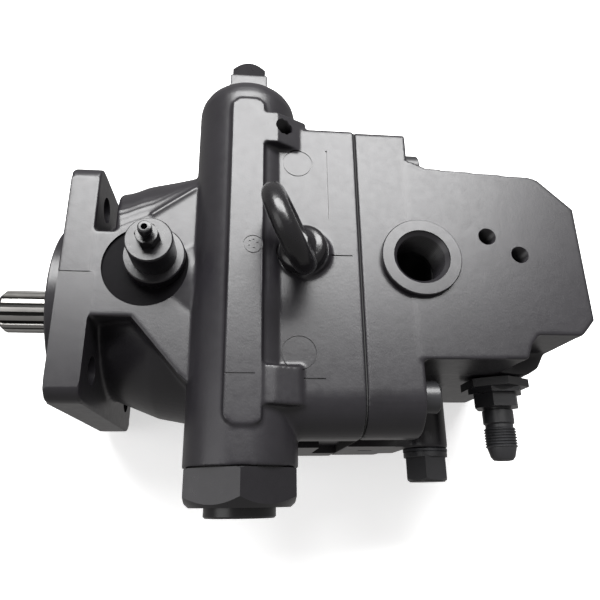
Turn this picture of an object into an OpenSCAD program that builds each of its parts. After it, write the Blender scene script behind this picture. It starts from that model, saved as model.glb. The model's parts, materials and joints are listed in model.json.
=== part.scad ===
// Variable axial piston pump with a transverse servo cylinder.
// +X runs along the shaft from the drive end to the port end, +Z points to the side with the pressure port.
// The origin is on the shaft axis at the face of the mounting flange.

/* [Mounting flange] */
// Diameter of the locating pilot
pilot_d = 101.6; // [101.6]
// Length of the locating pilot
pilot_l = 9.7; // [8:0.1:10]
// Bolt circle of the four mounting bolts
flange_pcd = 127; // [127]
// Mounting hole diameter
flange_hole_d = 14.3; // [13.5:0.1:14.5]
// Flange size across Y
flange_w = 126; // [124:1:128]
// Flange size along Z
flange_h = 128; // [120:1:130]
// Flange thickness
flange_t = 15; // [14:1:18]

/* [Shaft] */
// Length of shaft that stands out of the flange face
shaft_out = 52; // [46:1:60]
// Outside diameter of the drive spline
spline_d = 25.4; // [25.4]
// Number of drive spline teeth
spline_teeth = 15; // [15]

/* [Housing] */
// Where the port cover meets the housing
seam_x = 149; // [149]
// Height of the flat top face above the shaft
top_z = 75; // [74:0.5:76]
// Housing side towards +Y
side_plus = 84; // [83:1:86]
// Housing side towards -Y
side_minus = 80; // [79:1:82]
// Housing bottom below the shaft
bottom_z = 68; // [66:1:70]

/* [Servo cylinder] */
// Servo cylinder axis along X
servo_x = 91.5; // [91.5]
// Servo cylinder axis height
servo_z = 54; // [54]
// Outside diameter of the servo cylinder
servo_d = 54; // [52:1:54]
// Bore of the servo cylinder
servo_bore_d = 34; // [34]
// Width across flats of the servo cap
cap_af = 50; // [48:1:50]

/* [Rotating group] */
// Plane of the piston ball centres, and the tilt axis of the swashplate
ball_x = 62; // [62]
// Pitch radius of the pistons
piston_pitch = 30; // [30]
// Piston diameter
piston_d = 16; // [15:0.5:16]
// Number of pistons
piston_count = 9; // [9]
// Cylinder block outside diameter
block_d = 84; // [82:1:84]

/* [Ports] */
// Centre of the pressure port along X
port_x = 180.4; // [180:0.2:182]
// Centre of the pressure port along Y
port_y = 7.8; // [6:0.2:8]
// Spot face diameter of the pressure port
spot_d = 41.3; // [40:0.1:42]
// Suction port bore
suction_d = 32; // [30:1:34]

/* [Hidden] */
$fn = 64;

paint = [0.20, 0.21, 0.23];
black = [0.06, 0.06, 0.07];
steel = [0.62, 0.62, 0.62];
bronze = [0.66, 0.50, 0.28];

eps = 0.05;
// Casing round the rotating group
cavity_r = 48;
cavity_x0 = 31;
// Front tapered roller bearing, 35 x 72 x 17
front_x0 = 14;
front_x1 = 31;
front_bore_r = 17.5;
front_outer_r = 36;
// Rear needle bearing, 25 x 42 x 17
rear_x0 = 154;
rear_x1 = 171;
rear_bore_r = 12.5;
rear_outer_r = 21;
// Swashplate
slip_face_x = 54;
cradle_r = 28;
cradle_shell_t = 2;
disc_r = 44;
disc_x0 = 46;
arm_z0 = 41;
arm_z1 = 45.7;
// Cylinder block and valve plate
block_x0 = 104;
block_x1 = 148.9;
bore_r = 9.1;
valve_t = 4;
shaft_mid_r = 15;
block_spline_r = 14.8;
spline_root_r = 11.1;
// Port cover
cover_plate_x1 = 178;
cover_end_x = 268;
screw_y_plus = 70;
screw_y_minus = 60;
screw_z_top = 59;
screw_z_low = -50;
// Servo cylinder ends
servo_y0 = -93;
servo_y1 = 107;
neck_y = 132;
neck_r = 11;
servo_bore_y1 = 104;
cap_len = 21.5;
pad_z = 82;
pad_x0 = 83;
pad_x1 = 100.4;
pad_y0 = -76;
pad_y1 = 96;
// Bleed plug axis
bleed_x = 46.5;
bleed_y = 8.4;
bleed_face_z = 66;
// Eye bolt
eye_x = 121;
eye_y = 9;
eye_lean = -20;
eye_turn = 110;
eye_ring_r = 17.5;
eye_bar_r = 5;
eye_ring_z = 27;
// Adapter and plug on the -Y side of the port cover
adapter_x = 233.5;
adapter_z = 25;
adapter_face_y = -44;
gallery_x = 198;
gallery_boss_y = -80;

// Shapes along the three axes
module cyl_x(r, x0, x1, y = 0, z = 0)
  translate([x0, y, z]) rotate([0, 90, 0]) cylinder(r = r, h = x1 - x0);
module cyl_y(r, y0, y1, x = 0, z = 0)
  translate([x, y1, z]) rotate([90, 0, 0]) cylinder(r = r, h = y1 - y0);
module ring_x(ro, ri, x0, x1)
  difference() {
    cyl_x(ro, x0, x1);
    cyl_x(ri, x0 - 1, x1 + 1);
  }
module spin_x(points)
  rotate([0, 90, 0]) rotate_extrude($fn = 96) polygon(points);
module hex_y(af, y0, y1, x, z, turn = 30)
  translate([x, y1, z]) rotate([90, 0, 0]) rotate([0, 0, turn]) cylinder(d = af / cos(30), h = y1 - y0, $fn = 6);

// Rounded rectangle in two dimensions, each corner with its own radius, listed anticlockwise from low left
module rounded(x0, x1, y0, y1, r) {
  corners = [[x0 + r[0], y0 + r[0]], [x1 - r[1], y0 + r[1]], [x1 - r[2], y1 - r[2]], [x0 + r[3], y1 - r[3]]];
  polygon([for (k = [0:3]) for (a = [0:10:90])
    corners[k] + r[k] * [cos(a + 180 + 90 * k), sin(a + 180 + 90 * k)]]);
}
// Extrudes a YZ outline along X
module along_x(x0, x1)
  translate([x0, 0, 0]) rotate([90, 0, 90]) linear_extrude(x1 - x0) children();
// Extrudes an XZ outline along Y
module along_y(y0, y1)
  translate([0, y1, 0]) rotate([90, 0, 0]) linear_extrude(y1 - y0) children();

module casing_outline(grow = 0)
  rounded(-side_minus - grow, side_plus + grow, -bottom_z - grow, top_z + grow, [26, 26, 3, 20]);

// Coil spring as a swept tube along +X from x0 to x1
module coil(x0, x1, r, wire_r, turns, sides = 8) {
  steps = turns * 20;
  pts = [for (i = [0:steps]) for (s = [0:sides - 1])
    let (a = 18 * i, t = i / steps, b = 360 * s / sides,
      lead = (x1 - x0 - 2 * wire_r) * min(1, max(0, (t * turns - 0.8) / (turns - 1.6))),
      rr = r + wire_r * cos(b))
    [x0 + wire_r + lead + wire_r * sin(b), rr * cos(a), rr * sin(a)]];
  faces = [for (i = [0:steps - 1]) for (s = [0:sides - 1])
    let (n = (s + 1) % sides) [i * sides + s, i * sides + n, (i + 1) * sides + n, (i + 1) * sides + s]];
  ends = [[for (s = [sides - 1:-1:0]) s], [for (s = [0:sides - 1]) steps * sides + s]];
  polyhedron(points = pts, faces = concat(faces, ends), convexity = 10);
}

module flange() {
  difference() {
    along_x(0, flange_t) rounded(-flange_w / 2, flange_w / 2, -flange_h / 2, flange_h / 2, [10, 10, 10, 10]);
    for (sy = [-1, 1], sz = [-1, 1])
      cyl_x(flange_hole_d / 2, -1, flange_t + 1, sy * flange_pcd / 2 * cos(45), sz * flange_pcd / 2 * sin(45));
  }
  cyl_x(pilot_d / 2, -pilot_l, 1);
}

// Bell between the flange and the servo cylinder, with the flat that carries the bleed plug
module front_bell() {
  spin_x([[0, flange_t - 1], [50, flange_t - 1], [54, 24], [62, 44], [66, 66], [66, 78], [0, 78]]);
  translate([0, 0, -20])
    linear_extrude(bleed_face_z + 20 - 4)
      polygon([[flange_t - 1, -21.8], [36.5, -21.9], [60.5, -49.8], [70, -58], [70, 54], [65, 50.3], [42.7, 33.4],
        [27.3, 26.1], [26, 24], [flange_t - 1, 24]]);
  translate([bleed_x, bleed_y, 20]) cylinder(r = 17, h = bleed_face_z - 24);
  // Cast ribs under the flange ears on the lower side
  for (sy = [-1, 1]) translate([flange_t - 1, sy * 30 - 6, -58]) cube([40, 12, 30]);
}

module servo_tube() {
  // Flat-topped boss under the stop screw
  translate([servo_x - 10.5, servo_y1 + 1, servo_z - 9]) cube([21, neck_y - servo_y1 - 2, 20]);
  cyl_y(servo_d / 2, servo_y0, servo_y1, servo_x, servo_z);
  translate([servo_x, 0, servo_z]) rotate([-90, 0, 0])
    rotate_extrude($fn = 96)
      polygon([[0, servo_y1 - 1], [servo_d / 2, servo_y1 - 1], [servo_d / 2, servo_y1], [servo_d / 2 - 0.8, servo_y1 + 4],
        [servo_d / 2 - 3, servo_y1 + 8], [20, servo_y1 + 12], [14, 125], [neck_r, 128.5], [neck_r, neck_y], [0, neck_y]]);
  translate([0, 0, servo_z]) linear_extrude(pad_z - servo_z) rounded(pad_x0, pad_x1, pad_y0, pad_y1, [6, 4, 5, 6]);
}

// Lugs beside the servo cylinder: the upper one is tapped
module servo_lugs() {
  along_y(69, 88) polygon([[95, 60], [123, 60], [123, 74], [119, 77], [106, 81], [95, 81]]);
  along_y(-67, -49) polygon([[95, 60], [121, 60], [121, 74], [118, 77], [106, 81], [95, 81]]);
}

module pump_housing() {
  color(paint) difference() {
    union() {
      flange();
      front_bell();
      servo_tube();
      // Mid body behind and under the servo cylinder
      difference() {
        along_x(64, seam_x) casing_outline();
        translate([0, -200, 0]) translate([64 - 1, 0, 52]) cube([servo_x - 64 + 2, 400, 60]);
        // Side relief ahead of the servo cylinder
        translate([60, side_plus - 16, -90]) cube([20, 60, 150]);
        translate([60, -side_minus - 44, -90]) cube([20, 60, 150]);
      }
      servo_lugs();
      // Inclined seat of the lifting eye
      translate([eye_x, eye_y, top_z]) rotate([0, eye_lean, 0]) translate([0, 0, -10]) cylinder(r = 12.9, h = 11);
    }
    // Shaft seal and front bearing seats
    cyl_x(26, -pilot_l - 1, 9.5);
    cyl_x(23, 9, front_x0 + 1);
    cyl_x(front_outer_r, front_x0, front_x1 + 0.5);
    cyl_x(27.1, -6.9, -5.4);
    // Working cavity
    difference() {
      cyl_x(cavity_r, cavity_x0, seam_x + 1);
      cradle_saddles();
    }
    // Servo bore, its cap thread and the stop screw thread
    cyl_y(servo_bore_d / 2, servo_y0 - 1, servo_bore_y1, servo_x, servo_z);
    cyl_y(20, servo_y0 - 1, servo_y0 + 18, servo_x, servo_z);
    cyl_y(6, servo_bore_y1 - 1, neck_y + 1, servo_x, servo_z);
    // Bleed plug recess and thread
    translate([bleed_x - 4.9, bleed_y - 3.4, bleed_face_z - 4]) cylinder(r = 21.6, h = 20);
    translate([bleed_x, bleed_y, 20]) cylinder(r = 10, h = 60);
    // Eye bolt thread and its seat
    translate([eye_x, eye_y, top_z]) rotate([0, eye_lean, 0]) {
      translate([0, 0, -20]) cylinder(r = 5, h = 40);
      translate([0, 0, 1]) cylinder(r = 13, h = 10);
    }
    // Tapped hole in the upper lug
    translate([110.5, 80, 62]) cylinder(r = 4.25, h = 30);
    // Cover screw threads
    for (p = screw_places()) cyl_x(5, seam_x - 24, seam_x + 1, p[0], p[1]);
    // Case drain and fill ports on the lower side
    translate([120, 20, -bottom_z - 1]) cylinder(r = 9, h = 16);
    // Cast witness marks on the top face
    translate([118, 60.8, top_z - 0.4]) ring_z(8, 7.3, 1);
    translate([117.6, -42.3, top_z - 0.4]) ring_z(8.5, 7.8, 1);
    translate([95.2, 9.8, pad_z - 0.5]) ring_z(4.9, 4.2, 1);
  }
}
module ring_z(ro, ri, h)
  difference() {
    cylinder(r = ro, h = h);
    translate([0, 0, -1]) cylinder(r = ri, h = h + 2);
  }

// The two saddles that carry the swashplate above and below the shaft
module cradle_saddles()
  for (s = [-1, 1])
    difference() {
      translate([cavity_x0 - 1, -18, s > 0 ? 20.5 : -50]) cube([10, 36, 29.5]);
      translate([ball_x, 0, s > 0 ? 20 : -51]) cylinder(r = cradle_r + cradle_shell_t + eps, h = 31, $fn = 96);
    }

function screw_places() = [[screw_y_plus, screw_z_top], [-screw_y_minus, screw_z_top],
  [screw_y_plus - 6, screw_z_low], [-screw_y_minus, screw_z_low]];

// Outline of the port block seen from above
module port_block_outline()
  polygon([[cover_plate_x1 - 2, 66], [180.5, 65], [188, 61.6], [246.5, 58.5], [250.3, 57.1], [cover_end_x, 39.2],
    [cover_end_x, -23.4], [260.4, -31.5], [237.5, -31.5], [233.1, -36.4], [230, -44], [cover_plate_x1 - 2, -44.5]]);
module port_block_low_outline()
  polygon([[cover_plate_x1 - 2, 60], [244, 56], [262, 38], [262, -26], [254, -40], [248, -43.5], [cover_plate_x1 - 2, -43.5]]);

module port_cover() {
  gap = 0.5;
  color(paint) difference() {
    union() {
      along_x(seam_x + gap, cover_plate_x1) casing_outline(-0.5);
      translate([0, 0, 38]) linear_extrude(top_z - 38) port_block_outline();
      translate([0, 0, -56]) linear_extrude(56 + 39) port_block_low_outline();
      // Pressure port spot face
      translate([port_x, port_y, 40]) cylinder(d = spot_d, h = 78 - 40);
      // Adapter seat and gallery boss on the -Y side
      cyl_y(15, adapter_face_y, -20, adapter_x, adapter_z);
      cyl_y(13, gallery_boss_y, -30, gallery_x, 0);
      // Suction flange under the cover
      translate([194, 0, -bottom_z]) rounded_block(68, 52, 30);
    }
    // Valve plate recess and rear bearing seat
    cyl_x(block_d / 2 + 0.1, seam_x - 1, seam_x + gap + valve_t);
    cyl_x(rear_outer_r, seam_x, rear_x1 + 0.2);
    cyl_x(14, rear_x1, rear_x1 + 4);
    // Pressure kidney and port
    kidney(seam_x, 168, 1);
    translate([port_x, port_y, 24]) cylinder(d = 24.7, h = 60);
    translate([port_x, port_y, 50]) cylinder(d = 25.4, h = 40);
    translate([port_x, port_y, 76]) cylinder(d1 = 25.4, d2 = 29.6, h = 2.1);
    pressure_gallery();
    // Suction kidney and port
    kidney(seam_x, 170, -1);
    translate([194, 0, -bottom_z - 1]) cylinder(d = suction_d, h = bottom_z - 18);
    cyl_x(10.5, 160, 196, 0, -32);
    for (sx = [-1, 1], sy = [-1, 1])
      translate([194 + sx * 58.7 / 2, sy * 30.2 / 2, -bottom_z - 1]) cylinder(r = 4.25, h = 21);
    // Tapped holes in the top face
    translate([217.2, 21.5, 55]) cylinder(r = 4.25, h = 30);
    translate([233.7, 11.6, 55]) cylinder(r = 4.25, h = 30);
    // Adapter port and gallery plug port
    cyl_y(7, -60, 0, adapter_x, adapter_z);
    cyl_y(8, gallery_boss_y - 1, -20, gallery_x, 0);
    // Screw clearance holes
    for (p = screw_places()) cyl_x(5.5, seam_x - 1, cover_plate_x1 + 1, p[0], p[1]);
    for (p = screw_places()) cyl_x(9, cover_plate_x1 - 0.4, cover_plate_x1 + 14, p[0], p[1]);
    // Dowel hole for the valve plate
    cyl_x(2.5, seam_x, seam_x + 12, 37, 0);
  }
}
// A block centred in X and Y with rounded corners, from its base upwards
module rounded_block(sx, sy, h)
  linear_extrude(h) rounded(-sx / 2, sx / 2, -sy / 2, sy / 2, [12, 12, 12, 12]);
// Kidney slot on the pitch circle, above (side 1) or below (side -1) the shaft
module kidney(x0, x1, side)
  for (a = [-50:12.5:50]) cyl_x(4.6, x0, x1, piston_pitch * sin(a), side * piston_pitch * cos(a));
// Drilled passage from the pressure kidney to the pressure port
module pressure_gallery()
  cyl_x(10, 158, port_x + 4, port_y, 31);

module cover_gasket() {
  color(black) difference() {
    along_x(seam_x, seam_x + 0.5) casing_outline(-0.6);
    cyl_x(cavity_r, seam_x - 1, seam_x + 2);
    for (p = screw_places()) cyl_x(5.6, seam_x - 1, seam_x + 2, p[0], p[1]);
  }
}

module cover_screws() {
  head_l = 10;
  color(black) for (p = screw_places()) {
    difference() {
      union() {
        cyl_x(8, cover_plate_x1 - 0.4, cover_plate_x1 - 0.4 + head_l, p[0], p[1]);
        cyl_x(5, seam_x - 22, cover_plate_x1, p[0], p[1]);
      }
      translate([cover_plate_x1 + head_l - 5, p[0], p[1]]) rotate([0, 90, 0]) cylinder(d = 8 / cos(30), h = 8, $fn = 6);
    }
  }
}

// Points of a straight-sided spline outline
function spline_points(n, tip, root) = [for (i = [0:n - 1]) for (k = [[-0.34, root], [-0.17, tip], [0.17, tip], [0.34, root]])
  let (a = 360 * (i + k[0]) / n) [k[1] * cos(a), k[1] * sin(a)]];
module splined_x(n, tip, root, x0, x1)
  translate([x0, 0, 0]) rotate([0, 90, 0]) linear_extrude(x1 - x0) polygon(spline_points(n, tip, root));

module drive_shaft() {
  color(steel) union() {
    intersection() {
      splined_x(spline_teeth, spline_d / 2 + 0.5, spline_root_r, -shaft_out, -17);
      spin_x([[0, -shaft_out], [10.6, -shaft_out], [spline_d / 2, -shaft_out + 2.4], [spline_d / 2, -17], [0, -17]]);
    }
    cyl_x(10.7, -18, -13);
    spin_x([[0, -14], [15.5, -14], [16.5, -13], [16.5, 12], [front_bore_r, 12], [front_bore_r, front_x1], [20, front_x1],
      [20, 33], [shaft_mid_r, 34], [shaft_mid_r, 100], [0, 100]]);
    splined_x(16, block_spline_r, 13.6, 99, 141);
    spin_x([[0, 140], [13.3, 140], [13.3, rear_x0 - 0.5], [rear_bore_r, rear_x0], [rear_bore_r, rear_x1 + 1], [11.5, rear_x1 + 2],
      [0, rear_x1 + 2]]);
  }
}

module shaft_seal() {
  color(black) spin_x([[16.52, -3], [17.4, -4.2], [18.5, -3.8], [18.5, 1], [23.2, 1], [23.2, -4.6], [25.95, -4.6],
    [25.95, 3.4], [19, 3.4], [19, 1.8], [16.9, -1.4]]);
}

module seal_retaining_ring() {
  color(steel) difference() {
    ring_x(27, 23, -6.8, -5.5);
    translate([-8, -3, -30]) cube([4, 6, 14]);
  }
}

module front_bearing_cup() {
  color(steel) spin_x([[front_outer_r - eps, front_x0 + 0.1], [front_outer_r - eps, front_x1 - 1], [31.5, front_x1 - 1],
    [29.4, front_x0 + 0.1]]);
}
module front_bearing_cone() {
  color(steel) spin_x([[front_bore_r, front_x0 - 1.9], [22, front_x0 - 1.9], [21.2, front_x0 + 0.6], [23.4, front_x1 - 2.2],
    [26.4, front_x1 - 2.2], [26.4, front_x1], [front_bore_r, front_x1]]);
}
// Sixteen tapered rollers lying between the cone and the cup
module front_bearing_rollers() {
  n = 16;
  slope = atan2(31.5 - 29.4, 15.9);
  color(steel) for (i = [0:n - 1])
    rotate([360 * i / n, 0, 0]) translate([front_x0 + 1.4, 0, 25.45]) rotate([0, 90 - slope, 0])
      cylinder(r = 3.7, h = 12.4, $fn = 24);
}

module rear_bearing_sleeve() {
  color(steel) ring_x(rear_outer_r - eps, 17.6, rear_x0, rear_x1 - 0.1);
}
// Twenty needles between the sleeve and the shaft journal
module rear_bearing_rollers() {
  n = 18;
  color(steel) for (i = [0:n - 1])
    rotate([360 * i / n, 0, 0]) translate([rear_x0 + 1, 0, 15.05]) rotate([0, 90, 0]) cylinder(r = 2.4, h = 14.8, $fn = 24);
}

module swashplate() {
  color(steel) difference() {
    union() {
      cyl_x(disc_r, disc_x0, slip_face_x);
      intersection() {
        translate([ball_x, 0, -38]) cylinder(r = cradle_r, h = 76, $fn = 96);
        translate([ball_x - 40, -28, -38]) cube([40 - (ball_x - slip_face_x), 56, 76]);
      }
      translate([disc_x0, -6, arm_z0]) cube([52, 12, arm_z1 - arm_z0]);
    }
    // Opening for the shaft, wide enough for the full tilt
    translate([ball_x - 40, -27, -18.6]) cube([60, 54, 37.2]);
    translate([servo_x, 0, arm_z0 - 1]) cylinder(r = 4, h = 10);
  }
}
module cradle_shell(z0) {
  color(bronze) difference() {
    intersection() {
      translate([ball_x, 0, z0]) cylinder(r = cradle_r + cradle_shell_t, h = 16.5, $fn = 96);
      translate([cavity_x0 - 3, -17.5, z0]) cube([14, 35, 16.5]);
    }
    translate([ball_x, 0, z0 - 1]) cylinder(r = cradle_r + eps, h = 19, $fn = 96);
  }
}
module cradle_bearing_upper() cradle_shell(21);
module cradle_bearing_lower() cradle_shell(-37.5);
module swash_arm_pin() {
  color(steel) translate([servo_x, 0, arm_z0]) cylinder(r = 4, h = 15.5);
}
module swash_arm_roller() {
  color(steel) translate([servo_x, 0, 46.6]) difference() {
    cylinder(r = 6, h = 9);
    translate([0, 0, -1]) cylinder(r = 4.03, h = 11);
  }
}

module cylinder_block() {
  color(steel) difference() {
    cyl_x(block_d / 2, block_x0, block_x1);
    for (i = [0:piston_count - 1]) rotate([360 * i / piston_count, 0, 0]) {
      cyl_x(bore_r, block_x0 - 1, block_x1 - 6, 0, piston_pitch);
      cyl_x(4.5, block_x0, block_x1 + 1, 0, piston_pitch);
    }
    cyl_x(shaft_mid_r + 0.03, block_x0 - 1, 112);
    cyl_x(18.5, 110, 136);
    splined_x(16, block_spline_r + 0.03, 13.63, 134, block_x1 + 1);
    ring_x(19.5, 15, 110.6, 112.2);
  }
}

module valve_plate() {
  color(bronze) difference() {
    cyl_x(block_d / 2, block_x1 + eps, block_x1 + eps + valve_t + 0.4);
    cyl_x(18, block_x1 - 1, block_x1 + valve_t + 3);
    kidney(block_x1 - 1, block_x1 + valve_t + 2, 1);
    kidney(block_x1 - 1, block_x1 + valve_t + 2, -1);
    cyl_x(2.55, block_x1 - 1, block_x1 + valve_t + 2, 37, 0);
  }
}
module port_dowel() {
  color(steel) cyl_x(2.5, block_x1 + 0.3, seam_x + 11.5, 37, 0);
}

// Ball that centres the retainer plate and rides on the shaft
module ball_guide() {
  color(steel) difference() {
    union() {
      intersection() {
        translate([ball_x, 0, 0]) sphere(r = 18, $fn = 96);
        cyl_x(18, ball_x - 5, ball_x + 7);
      }
      cyl_x(16.95, ball_x + 6, block_x0 - 0.1);
    }
    cyl_x(shaft_mid_r + 0.03, ball_x - 20, 112);
  }
}
module retainer_plate() {
  color(steel) difference() {
    cyl_x(40, 58.2, 61.6);
    translate([ball_x, 0, 0]) sphere(r = 18.06, $fn = 96);
    for (i = [0:piston_count - 1]) rotate([360 * i / piston_count, 0, 0]) cyl_x(7.8, 57, 63, 0, piston_pitch);
  }
}
module block_spring() {
  color(steel) coil(114, 133.4, 16.8, 1.3, 5);
}
module spring_washers() {
  color(steel) {
    ring_x(18.4, 15.4, 112.4, 113.9);
    ring_x(18.4, 15.4, 133.5, 135);
  }
}
module block_retaining_ring() {
  color(steel) ring_x(19.4, 16, 110.7, 112.1);
}

// Piston with its ball, its axis on the pitch circle; the ball centre is in the ball plane
module piston(i) {
  color(steel) rotate([360 * (i - 1) / piston_count, 0, 0]) translate([0, 0, piston_pitch]) difference() {
    spin_x([for (a = [-90:10:45]) [5.9 * cos(a), ball_x + 5.9 * sin(a)], [4.2, ball_x + 6.4], [piston_d / 2 - 1, ball_x + 7],
      [piston_d / 2, ball_x + 8], [piston_d / 2, ball_x + 62], [piston_d / 2 - 1, ball_x + 63], [0, ball_x + 63]]);
    cyl_x(5, ball_x + 22, ball_x + 64);
  }
}
// Slipper that wraps the ball and slides on the swashplate
module slipper(i) {
  color(bronze) rotate([360 * (i - 1) / piston_count, 0, 0]) translate([0, 0, piston_pitch]) difference() {
    spin_x([[0, slip_face_x + eps], [9.6, slip_face_x + eps], [9.6, 57.9], [7.5, 58.1], [7.5, ball_x + 2], [6.8, ball_x + 2.5],
      [0, ball_x + 2.5]]);
    translate([ball_x, 0, 0]) sphere(r = 5.95, $fn = 64);
    cyl_x(5, slip_face_x - 1, slip_face_x + 0.8);
  }
}
module piston_1() piston(1);
module piston_2() piston(2);
module piston_3() piston(3);
module piston_4() piston(4);
module piston_5() piston(5);
module piston_6() piston(6);
module piston_7() piston(7);
module piston_8() piston(8);
module piston_9() piston(9);
module slipper_1() slipper(1);
module slipper_2() slipper(2);
module slipper_3() slipper(3);
module slipper_4() slipper(4);
module slipper_5() slipper(5);
module slipper_6() slipper(6);
module slipper_7() slipper(7);
module slipper_8() slipper(8);
module slipper_9() slipper(9);

module servo_piston() {
  color(steel) difference() {
    cyl_y(servo_bore_d / 2 - 0.03, -46, 46, servo_x, servo_z);
    translate([servo_x - 20, -30, 20]) cube([40, 60, 26.2]);
    translate([servo_x - 20, -6.3, 40]) cube([40, 12.6, 17]);
    for (y = [-41, 41]) seal_groove(y);
    cyl_y(9, 40, 47, servo_x, servo_z);
  }
}
// Seal groove round a land of the servo piston
module seal_groove(y)
  difference() {
    cyl_y(servo_bore_d / 2 + 1, y - 1.2, y + 1.2, servo_x, servo_z);
    cyl_y(servo_bore_d / 2 - 2, y - 2, y + 2, servo_x, servo_z);
  }
module servo_spring() {
  color(steel) translate([servo_x, 0, servo_z]) rotate([0, 0, 90]) coil(46.1, 93.9, 12, 1.8, 6);
}
module servo_spring_seat() {
  color(steel) difference() {
    union() {
      cyl_y(15.5, 94, 98, servo_x, servo_z);
      cyl_y(9.5, 88, 95, servo_x, servo_z);
    }
    cyl_y(6.1, 92, 99, servo_x, servo_z);
  }
}
// Stop screw that limits the stroke, with its hex head outside
module stroke_stop_screw() {
  color(paint) {
    cyl_y(5.95, 92.2, neck_y + 1, servo_x, servo_z);
    hex_y(19, neck_y, neck_y + 9.2, servo_x, servo_z, 30);
    translate([servo_x, neck_y + 9.2, servo_z]) rotate([-90, 0, 0]) cylinder(r1 = 9.4, r2 = 8.2, h = 1.3);
  }
}

// Large hex cap that closes the servo bore
module servo_cap() {
  y0 = servo_y0 - cap_len;
  color(paint) {
    difference() {
      intersection() {
        hex_y(cap_af, y0 + 4.5, servo_y0 - 0.4, servo_x, servo_z, 30);
        translate([servo_x, servo_y0, servo_z]) rotate([90, 0, 0]) rotate_extrude($fn = 96)
          polygon([[0, 0], [27.2, 0], [29, 1.2], [29, 12.2], [23.4, cap_len - 4.5], [0, cap_len - 4.5]]);
      }
      cyl_y(10, y0 - 1, y0 + 3, servo_x, servo_z);
    }
    cyl_y(16.6, y0, y0 + 5, servo_x, servo_z);
    cyl_y(20 - eps, servo_y0 - 1, servo_y0 + 14, servo_x, servo_z);
    cyl_y(12, servo_y0 + 12, servo_y0 + 30, servo_x, servo_z);
  }
}
module servo_cap_seal() {
  color(black) translate([servo_x, servo_y0 - 0.2, servo_z]) rotate([90, 0, 0]) rotate_extrude()
    polygon([[20.2, -0.15], [25.4, -0.15], [25.4, 0.15], [20.2, 0.15]]);
}

// Lifting eye, standing on its collar and turned on its thread
module eye_bolt() {
  color(black) translate([eye_x, eye_y, top_z]) rotate([0, eye_lean, 0]) rotate([0, 0, eye_turn]) {
    translate([0, 0, -16]) cylinder(r = 4.95, h = 18);
    translate([0, 0, 1.05]) rotate_extrude()
      polygon([[0, 0], [12.5, 0], [12.5, 6.5], [11, 8.5], [7, 9.5], [0, 9.5]]);
    translate([0, 0, eye_ring_z + 1]) rotate([90, 0, 0]) rotate_extrude() translate([eye_ring_r, 0]) circle(r = eye_bar_r, $fn = 48);
  }
}

module bleed_plug() {
  z = bleed_face_z - 4;
  color(paint) translate([bleed_x, bleed_y, z]) difference() {
    union() {
      translate([0, 0, -14]) cylinder(r = 9.95, h = 15);
      cylinder(r = 15.3, h = 7);
      translate([0, 0, 7]) cylinder(r1 = 15.3, r2 = 14.5, h = 1);
      translate([0, 0, 8]) cylinder(r = 11.3, h = 16);
      translate([0, 0, 24]) cylinder(r1 = 11.3, r2 = 10.4, h = 1);
    }
    translate([0, 0, 12]) cylinder(r = 3.05, h = 20);
  }
}
module bleed_screw() {
  z = bleed_face_z - 4 + 25;
  color(black) translate([bleed_x, bleed_y, z]) difference() {
    union() {
      translate([0, 0, -10]) cylinder(r = 3, h = 11);
      translate([0, 0, 0.1]) cylinder(d = 11 / cos(30), h = 5, $fn = 6);
      translate([0, 0, 5]) cylinder(r = 2.5, h = 3);
      translate([0, 0, 7.5]) cylinder(r1 = 3.7, r2 = 3.4, h = 4.4);
    }
    translate([0, 0, -8]) cylinder(r = 1.4, h = 30);
  }
}

// Straight adapter with a 37 degree nose
module pressure_adapter() {
  x = adapter_x;
  z = adapter_z;
  color(steel) difference() {
    union() {
      cyl_y(6.95, adapter_face_y - 1, -26, x, z);
      hex_y(22, -62.5, -57.2, x, z, 0);
      cyl_y(7.5, -66, adapter_face_y, x, z);
      cyl_y(8.2, -70, -63, x, z);
      cyl_y(8.0, -81.5, -70, x, z);
      translate([x, -81.5, z]) rotate([90, 0, 0]) cylinder(r1 = 7.4, r2 = 5.4, h = 6.8);
    }
    cyl_y(3.6, -90, 0, x, z);
  }
}
module adapter_locknut() {
  color(black) difference() {
    union() {
      hex_y(27, -56, -49.5, adapter_x, adapter_z, 0);
      cyl_y(12.6, -57, -56, adapter_x, adapter_z);
      hex_y(32, -50, -45.2, adapter_x, adapter_z, 30);
    }
    cyl_y(7.55, -60, -40, adapter_x, adapter_z);
  }
}
module adapter_seal() {
  color(black) difference() {
    cyl_y(12, -45.1, adapter_face_y - 0.05, adapter_x, adapter_z);
    cyl_y(7.6, -50, -40, adapter_x, adapter_z);
  }
}
module gallery_plug() {
  color(black) {
    cyl_y(7.95, gallery_boss_y - 3, -58, gallery_x, 0);
    cyl_y(12.4, gallery_boss_y - 4.6, gallery_boss_y - 1.6, gallery_x, 0);
    hex_y(22, gallery_boss_y - 17.4, gallery_boss_y - 4.5, gallery_x, 0, 12);
    cyl_y(10.2, gallery_boss_y - 18, gallery_boss_y - 17, gallery_x, 0);
  }
}
module gallery_plug_washer() {
  color(bronze) difference() {
    cyl_y(12.6, gallery_boss_y - 1.5, gallery_boss_y - 0.05, gallery_x, 0);
    cyl_y(8.1, gallery_boss_y - 3, gallery_boss_y + 1, gallery_x, 0);
  }
}

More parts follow.
